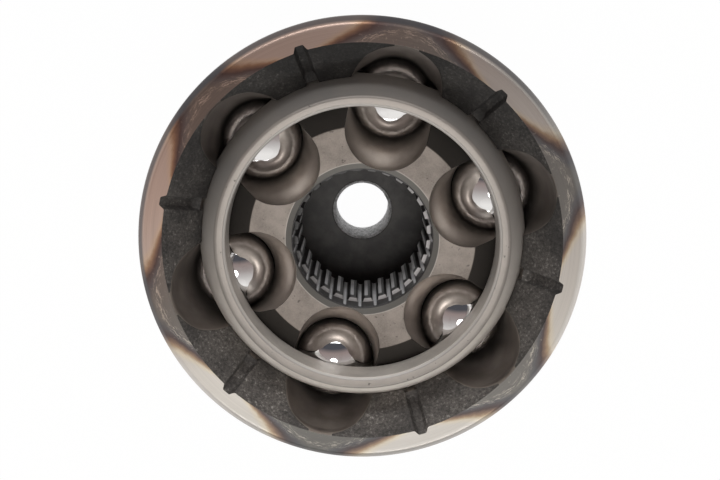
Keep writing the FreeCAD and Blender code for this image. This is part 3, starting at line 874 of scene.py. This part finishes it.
def makeFaceTeeth():
    # one tapered tooth, repeated by the node tree
    b, t = bell, tooth
    stations = [(b["dishRadius"] - t["start"], b["backLevel"] + t["startRise"]),
                (b["dishRadius"], b["backLevel"]),
                (b["hubRadius"] - b["hubBevel"], b["backLevel"]),
                (b["hubRadius"], b["backLevel"] + b["hubBevel"])]
    half = math.pi / t["count"]
    rows = []
    for reach, top in stations:
        root = b["backLevel"] + t["depth"] * reach / t["outer"]
        base = reach * (math.tan(half) - t["land"] / t["outer"])
        narrow = reach * (math.tan(half) - t["half"] / t["outer"])
        crest = base + (narrow - base) * (root - top) / (root - b["backLevel"])
        sunk = root + t["sunk"]
        rows.append([(reach, -base, sunk), (reach, -base, root), (reach, -crest, top),
                     (reach, crest, top), (reach, base, root), (reach, base, sunk)])
    mesh = gridMesh("toothSeed", rows, [0] * len(rows), closed=False)
    work = bmesh.new()
    work.from_mesh(mesh)
    bmesh.ops.holes_fill(work, edges=work.edges)
    bmesh.ops.rotate(work, verts=work.verts, matrix=Matrix.Rotation(half, 3, "Z"))
    work.to_mesh(mesh)
    work.free()
    return applyTree("hubTeeth", mesh, *repeatTree("faceTeeth", t["count"], finish["turned"]),
                     sharp=20)


def makeThread():
    # a triangular ridge wound down the tapped hole, a ribbon with its crest in the middle
    b = bell
    look = dict(pitch=1.5, crest=6.62, inset=0.35, sunk=0.02, spread=0.92, steps=48)
    low = b["backLevel"] + b["dishDepth"] + look["inset"]
    high = b["floorLevel"] - look["inset"]
    turnCount = (high - low) / look["pitch"]
    board, values, (_, pitch, turns, wall, crest, base) = newTree("threadRidge", {
        "Pitch": look["pitch"] * mm, "Turns": turnCount,
        "Wall": (b["holeRadius"] + look["sunk"]) * mm, "Crest": look["crest"] * mm,
        "Low": low * mm})
    grid = board.add("GeometryNodeMeshGrid", {}, {
        "Size X": 1.0, "Size Y": 1.0, "Vertices X": 4,
        "Vertices Y": int(turnCount * look["steps"])})
    across, along, _ = board.split(board.add("GeometryNodeInputPosition"))
    wound = (along + 0.5) * turns
    side = (abs(across) * 2.0).math("GREATER_THAN", 0.5)
    reach = crest + (wall - crest) * side
    level = base + wound * pitch + across * pitch * look["spread"]
    angle = wound * math.tau
    place = board.join(reach * angle.math("COSINE"), reach * angle.math("SINE"), level)
    moved = board.add("GeometryNodeSetPosition", {}, {"Geometry": grid, "Position": place})
    closeTree(board, moved, finish["hole"])
    return applyTree("holeThread", bpy.data.meshes.new("threadSeed"), board, values, sharp=25)


bellPiece = makeBell()
teethPiece = makeFaceTeeth()
threadPiece = makeThread()
print("outer race made:", len(bellPiece.data.polygons), "faces")


# cage

cage = dict(outer=36.3, inner=30.6, bore=28.7, half=19.2, boreBevel=0.6, boreRound=0.12,
            faceRound=1.3, windowWidth=21.6, windowHeight=18.3, windowCorner=4.5,
            windowReach=45.0, faceStart=0.8, cornerSteps=9, columns=336, outerRows=40, innerRows=20,
            longestStep=2.0)


def cageProfile():
    c = cage
    reach = math.asin(c["half"] / c["outer"])
    swing = math.asin(math.sqrt(c["inner"] ** 2 - c["bore"] ** 2) / c["inner"])
    bevelRadius, bevelLevel = c["bore"] + c["boreBevel"], c["half"] - c["boreBevel"]
    face = math.sqrt(c["outer"] ** 2 - c["half"] ** 2)
    start = (face - c["faceStart"], -c["half"], 0)
    corners = [start]
    for k in range(c["outerRows"] + 1):
        a = -reach + 2 * reach * k / c["outerRows"]
        corners.append((c["outer"] * math.cos(a), c["outer"] * math.sin(a),
                        c["faceRound"] if k in (0, c["outerRows"]) else 0))
    corners += [(bevelRadius, c["half"], c["boreRound"]), (c["bore"], bevelLevel, c["boreRound"])]
    for k in range(c["innerRows"] + 1):
        a = swing - 2 * swing * k / c["innerRows"]
        corners.append((c["inner"] * math.cos(a), c["inner"] * math.sin(a), 0))
    corners += [(c["bore"], -bevelLevel, c["boreRound"]),
                (bevelRadius, -c["half"], c["boreRound"]), start]
    return spaced(roundedPath(corners), c["longestStep"])[:-1]


def makeCage():
    # window cutters are drawn, turned round the axis and taken out of the ring
    c = cage
    board, values, (ring, width, height, corner, reach) = newTree("cageWindows", {
        "Width": c["windowWidth"] * mm, "Height": c["windowHeight"] * mm,
        "Corner": c["windowCorner"] * mm, "Reach": c["windowReach"] * mm})
    outline = board.add("GeometryNodeCurvePrimitiveQuadrilateral", {"mode": "RECTANGLE"},
                        {"Width": width, "Height": height})
    soft = board.add("GeometryNodeFilletCurve", {"mode": "POLY"}, {
        "Curve": outline, "Count": c["cornerSteps"], "Radius": corner})
    sheet = board.add("GeometryNodeFillCurve", {"mode": "NGONS"}, {"Curve": soft})
    block = board.add("GeometryNodeExtrudeMesh", {"mode": "FACES"}, {
        "Mesh": sheet, "Offset": board.join(z=reach), "Offset Scale": 1.0, "Individual": False})
    back = board.add("GeometryNodeFlipFaces", {}, {"Mesh": sheet})
    whole = board.add("GeometryNodeJoinGeometry", {}, {0: [block, back]})
    shut = board.add("GeometryNodeMergeByDistance", {}, {"Geometry": whole, "Distance": 1e-6})
    upright = board.add("GeometryNodeTransform", {}, {
        "Geometry": shut, "Rotation": (math.pi / 2, 0.0, math.pi / 2)})
    turn = board.add("GeometryNodeInputIndex") * (math.tau / trackCount) + math.radians(trackTurn)
    cutters = aroundAxis(board, upright, trackCount, turn)
    cut = board.add("GeometryNodeMeshBoolean", {"operation": "DIFFERENCE", "solver": "EXACT"},
                    {0: ring, 1: cutters})
    closeTree(board, cut, finish["cage"])
    angles = np.linspace(0, math.tau, c["columns"], endpoint=False)
    rows = [halfRing(radius, level, angles) for radius, level in cageProfile()]
    mesh = gridMesh("cageSeed", rows, [0] * len(rows), sharp=30)
    return applyTree("ballCage", mesh, board, values, sharp=28)


cagePiece = makeCage()
print("cage made:", len(cagePiece.data.polygons), "faces")


# inner race

race = dict(radius=30.55, half=13.0, face=24.1, taperLevel=9.0, bevelRadius=16.4,
            bevelDepth=1.6, tip=14.0, sleeve=15.2, leastTurn=0.35, trackOut=37.2, lipBlend=0.6,
            edgeBlend=0.35, rows=30, rowTurn=0.86, columnPower=1.4, endTries=30)


def raceTop(radius):
    # level of the end face, and of the bevel at the bore
    slope = race["bevelDepth"] / (race["bevelRadius"] - race["tip"])
    return race["half"] - max(0.0, race["bevelRadius"] - radius) * slope


def raceLand(level):
    r = race
    ball = math.sqrt(r["radius"] ** 2 - level ** 2)
    shoulder = math.sqrt(r["radius"] ** 2 - r["taperLevel"] ** 2)
    slope = (shoulder - r["face"]) / (r["half"] - r["taperLevel"])
    taper = r["face"] + (r["half"] - abs(level)) * slope
    return float(softMin(ball, taper, r["edgeBlend"]))


def raceGroove(side, level):
    # swept track, closed by a ball seat at the front face
    side = min(side, trackRadius)
    swing = trackReach - math.sqrt(trackRadius ** 2 - side ** 2)
    stop = math.radians(race["trackOut"])
    rise = level + trackOffset
    if rise < swing * math.sin(stop):
        return math.sqrt(swing ** 2 - rise ** 2)
    deep = trackRadius ** 2 - side ** 2 - (rise - trackReach * math.sin(stop)) ** 2
    return trackReach * math.cos(stop) - math.sqrt(max(0.0, deep))


def raceColumn(column, level):
    land = raceLand(level)
    lip = crossing(lambda side: land - math.hypot(raceGroove(side, level), side), trackRadius)
    if column <= grooveColumns:
        side = lip * grooveShares[column]
        reach = raceGroove(side, level)
        radius = float(softMin(land, math.hypot(reach, side), race["lipBlend"]))
        return radius, math.atan2(side, reach)
    start = math.atan2(lip, raceGroove(lip, level))
    share = (column - grooveColumns) / (halfColumns - grooveColumns)
    angle = start + (halfSector - start) * share ** race["columnPower"]
    side = land * math.sin(angle)
    if side >= trackRadius:
        return land, angle
    wall = raceGroove(side, level) / math.cos(angle)
    return float(softMin(land, wall, race["lipBlend"])), angle


def raceEnd(column, sign):
    # level at which a column meets the end face
    level = race["half"] * sign
    for _ in range(race["endTries"]):
        radius, _ = raceColumn(column, level)
        level = sign * (0.5 * abs(level) + 0.5 * raceTop(radius))
    return level


def raceFaceRows(outline, sign):
    # straight lines from the outline to the bore, whose azimuths only grow
    r = race
    reach = np.hypot(outline[:, 0], outline[:, 1])
    spread = [0.0]
    for angle in np.arctan2(outline[1:, 1], outline[1:, 0]):
        spread.append(max(angle, spread[-1] + math.radians(r["leastTurn"])))
    inner = np.minimum(reach, r["bevelRadius"])
    turned = np.stack([np.cos(spread), np.sin(spread)], axis=1)
    out = [outline[:, :2] * (1 - t) + turned * inner[:, None] * t for t in (0.03, 0.3, 0.6, 1.0)]
    for radius in (0.5 * (r["bevelRadius"] + r["sleeve"]), r["sleeve"]):
        out.append(turned * np.minimum(reach, radius)[:, None])
    return [np.column_stack([flat, [sign * raceTop(v) for v in np.hypot(*flat.T)]])
            for flat in out]


def makeRace():
    r = race
    faceZone, grooveZone = 0, 1
    ends = [(raceEnd(c, -1), raceEnd(c, 1)) for c in range(halfColumns + 1)]
    shares = np.sin(np.linspace(-math.pi / 2, math.pi / 2, 2 * r["rows"] + 1) * r["rowTurn"])
    halves = []
    for share in shares / shares[-1]:
        half = []
        for column, (low, high) in enumerate(ends):
            level = high * share if share > 0 else -low * share
            radius, angle = raceColumn(column, level)
            half.append((radius * math.cos(angle), radius * math.sin(angle), level))
        halves.append(np.array(half))
    zones = [np.where(inGroove(), grooveZone, faceZone)] * (len(halves) - 1) + [faceZone]
    top, bottom = raceFaceRows(halves[-1], 1), raceFaceRows(halves[0], -1)
    halves += top + bottom[::-1]
    zones += [faceZone] * (len(top) + len(bottom))
    mesh = gridMesh("raceBody", [ringFromHalf(h) for h in halves], zones, sharp=33)
    return addObject("raceBody", mesh, finish["raceFace"], finish["raceTrack"])


def splineSection():
    # one pitch of the bore, from the middle of a tooth to the middle of the next
    s = spline
    pitch = math.tau / s["count"]
    mouth = math.asin(s["mouthHalf"] / s["tip"]) + s["lipTurn"]
    right = []
    for degrees in (0, 12, 24, 36.87, 50, 63, 76, 90):
        a = math.radians(degrees)
        right.append((s["rootCentre"] + s["rootRadius"] * math.cos(a),
                      s["rootRadius"] * math.sin(a)))
    right.append((s["tip"] + s["lipRise"], s["mouthHalf"] - s["lipInset"]))
    for k in range(4):
        a = mouth + (pitch / 2 - mouth) * k / 3
        right.append((s["tip"] * math.cos(a), s["tip"] * math.sin(a)))
    return np.array([(x, -y) for x, y in right[:0:-1]] + right)


def makeSpline():
    s = spline
    section = splineSection()
    reach = np.hypot(section[:, 0], section[:, 1])
    unit = section / reach[:, None]
    entry = np.maximum(reach, s["entryRadius"])
    low = np.array([-raceTop(v) for v in reach])
    top = np.array([raceTop(v) for v in entry])
    start = np.full(len(reach), s["toothTop"])
    sleeve = np.full(len(reach), race["sleeve"])
    sleeveTop = np.full(len(reach), raceTop(race["sleeve"]))
    stations = [(reach, low), (reach, low * 0.5), (reach, start * 0.2),
                (reach, start - s["toothBevel"]),
                (np.minimum(reach + s["toothBevel"], entry), start), (entry, start),
                (entry, start + s["entryRow"]), (entry, top),
                (sleeve, sleeveTop), (sleeve, -sleeveTop)]
    rows = [np.column_stack([unit * radius[:, None], level]) for radius, level in stations]
    mesh = gridMesh("splineSeed", rows, [0] * len(rows), wrap=False)
    mesh.transform(Matrix.Rotation(math.radians(s["turn"]), 4, "Z"))
    return applyTree("splineBore", mesh, *repeatTree(
        "splineTeeth", s["count"], finish["spline"], weld=3e-6), sharp=40)


racePiece = makeRace()
splinePiece = makeSpline()
print("inner race made:", len(racePiece.data.polygons), "faces")


# balls

def makeBalls():
    board, values, (_, radius, place) = newTree("ballShape", {
        "Radius": ballRadius * mm, "Place": (0.0, 0.0, 0.0)})
    ball = board.add("GeometryNodeMeshIcoSphere", {}, {"Radius": radius, "Subdivisions": 6})
    moved = board.add("GeometryNodeTransform", {}, {"Geometry": ball, "Translation": place})
    closeTree(board, moved, finish["ball"])
    _, placeKey = values
    made = []
    for k in range(trackCount):
        low, high = (Vector(corner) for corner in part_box("ball_%d" % (k + 1)))
        values[placeKey] = tuple((low + high) / 2)
        made.append(applyTree("trackBall_%d" % (k + 1), bpy.data.meshes.new("ballSeed"), board,
                              values, sharp=60))
    return made


ballPieces = makeBalls()
print("balls made")


# which body each piece rides on

for piece in (bellPiece, teethPiece, threadPiece):
    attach(piece, "outer_race")
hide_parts("outer_race")
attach(cagePiece, "cage")
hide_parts("cage")
for piece in (racePiece, splinePiece):
    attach(piece, "inner_race")
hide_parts("inner_race")
for k, piece in enumerate(ballPieces):
    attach(piece, "ball_%d" % (k + 1))
    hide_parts("ball_%d" % (k + 1))
print("pieces bound to their bodies")


# floor, light and camera

stand = dict(azimuth=12.5, tilt=9.39, distance=268.8, lens=60.0, sensor=36.0, shiftX=-0.0033,
             shiftY=-0.0142, floorReach=1.2, floorGap=0.0002)
right = Vector((math.cos(math.radians(stand["azimuth"])),
                math.sin(math.radians(stand["azimuth"])), 0))
far = Vector((-right.y, right.x, 0))


def makeFloor():
    mesh = bpy.data.meshes.new("floor")
    reach = stand["floorReach"]
    level = bellBottom * mm - stand["floorGap"]
    mesh.from_pydata([(-reach, -reach, level), (reach, -reach, level), (reach, reach, level),
                      (-reach, reach, level)], [], [(0, 1, 2, 3)])
    board = newFinish("paleSheet")
    camera, glass = board.add("ShaderNodeLightPath",
                              out=("Is Camera Ray", "Is Transmission Ray"))
    matt = board.add("ShaderNodeBsdfDiffuse", {}, {"Color": (0.86, 0.86, 0.86, 1)})
    glow = board.add("ShaderNodeEmission", {}, {"Color": (1, 1, 1, 1), "Strength": 1.0})
    mixed = board.add("ShaderNodeMixShader", {}, {
        0: 0.42 + camera.atLeast(glass) * 0.56, 1: matt, 2: glow})
    board.add("ShaderNodeOutputMaterial", {}, {"Surface": mixed})
    addObject("floor", mesh, board.owner)


def makeWorld():
    # dim room, paler towards the near side, white for the camera
    look = dict(near=(0.93, 0.905, 0.87), side=(0.60, 0.57, 0.55), top=(0.40, 0.35, 0.335),
                behind=(0.33, 0.262, 0.245), dark=(0.085, 0.085, 0.095),
                horizon=(0.72, 0.71, 0.70), white=(1.0, 1.0, 1.0))
    world = bpy.data.worlds.new("room")
    bpy.context.scene.world = world
    board = newBoard(world)
    x, y, z = board.split(board.add("ShaderNodeTexCoord", out="Generated"))
    ahead = x * far.x + y * far.y
    room = board.ramp(ahead * 0.5 + 0.5, (0.20, look["near"]), (0.40, look["side"]),
                      (0.55, look["top"]), (0.70, look["behind"]), (0.80, look["dark"]))
    room = board.blend(1.0 - z.step(0.20, 0.38), room, look["horizon"])
    camera = board.add("ShaderNodeLightPath", out="Is Camera Ray")
    sky = board.add("ShaderNodeBackground", {}, {
        "Color": board.blend(camera, room, look["white"]), "Strength": 1.0})
    board.add("ShaderNodeOutputWorld", {}, {"Surface": sky})


def addLight(name, ahead, height, size, power, colour=(1, 1, 1)):
    data = bpy.data.lights.new(name, "AREA")
    data.shape = "ELLIPSE"
    data.size, data.size_y = size
    data.energy = power
    data.color = colour
    lamp = addObject(name, data)
    place = far * ahead + Vector((0, 0, height))
    lamp.location = place
    lamp.rotation_euler = (Vector((0, 0, 0.01)) - place).to_track_quat("-Z", "Y").to_euler()


def makeLights():
    addLight("nearSheet", -0.45, 0.65, (1.0, 0.55), 0.07, (1.0, 0.985, 0.95))
    addLight("nearStrip", -0.55, 0.27, (0.8, 0.14), 1.1)
    addLight("farStrip", 0.55, 0.32, (0.9, 0.12), 1.5)
    addLight("overhead", -0.04, 0.62, (0.24, 0.24), 1.25, (1.0, 0.97, 0.94))


def makeCamera():
    tilt = math.radians(stand["tilt"])
    back = far * math.sin(tilt) + Vector((0, 0, math.cos(tilt)))
    up = far * math.cos(tilt) - Vector((0, 0, math.sin(tilt)))
    data = bpy.data.cameras.new("camera")
    data.lens = stand["lens"]
    data.sensor_width = stand["sensor"]
    data.shift_x, data.shift_y = stand["shiftX"], stand["shiftY"]
    camera = addObject("camera", data)
    turn = Matrix((right, up, back)).transposed().to_4x4()
    camera.matrix_world = Matrix.Translation(back * stand["distance"] * mm) @ turn
    bpy.context.scene.camera = camera


makeFloor()
makeWorld()
makeLights()
makeCamera()
bpy.context.scene.view_settings.view_transform = "Standard"
print("stage set")


def plain(bounds):
    return [[float(v) for v in corner] for corner in bounds]
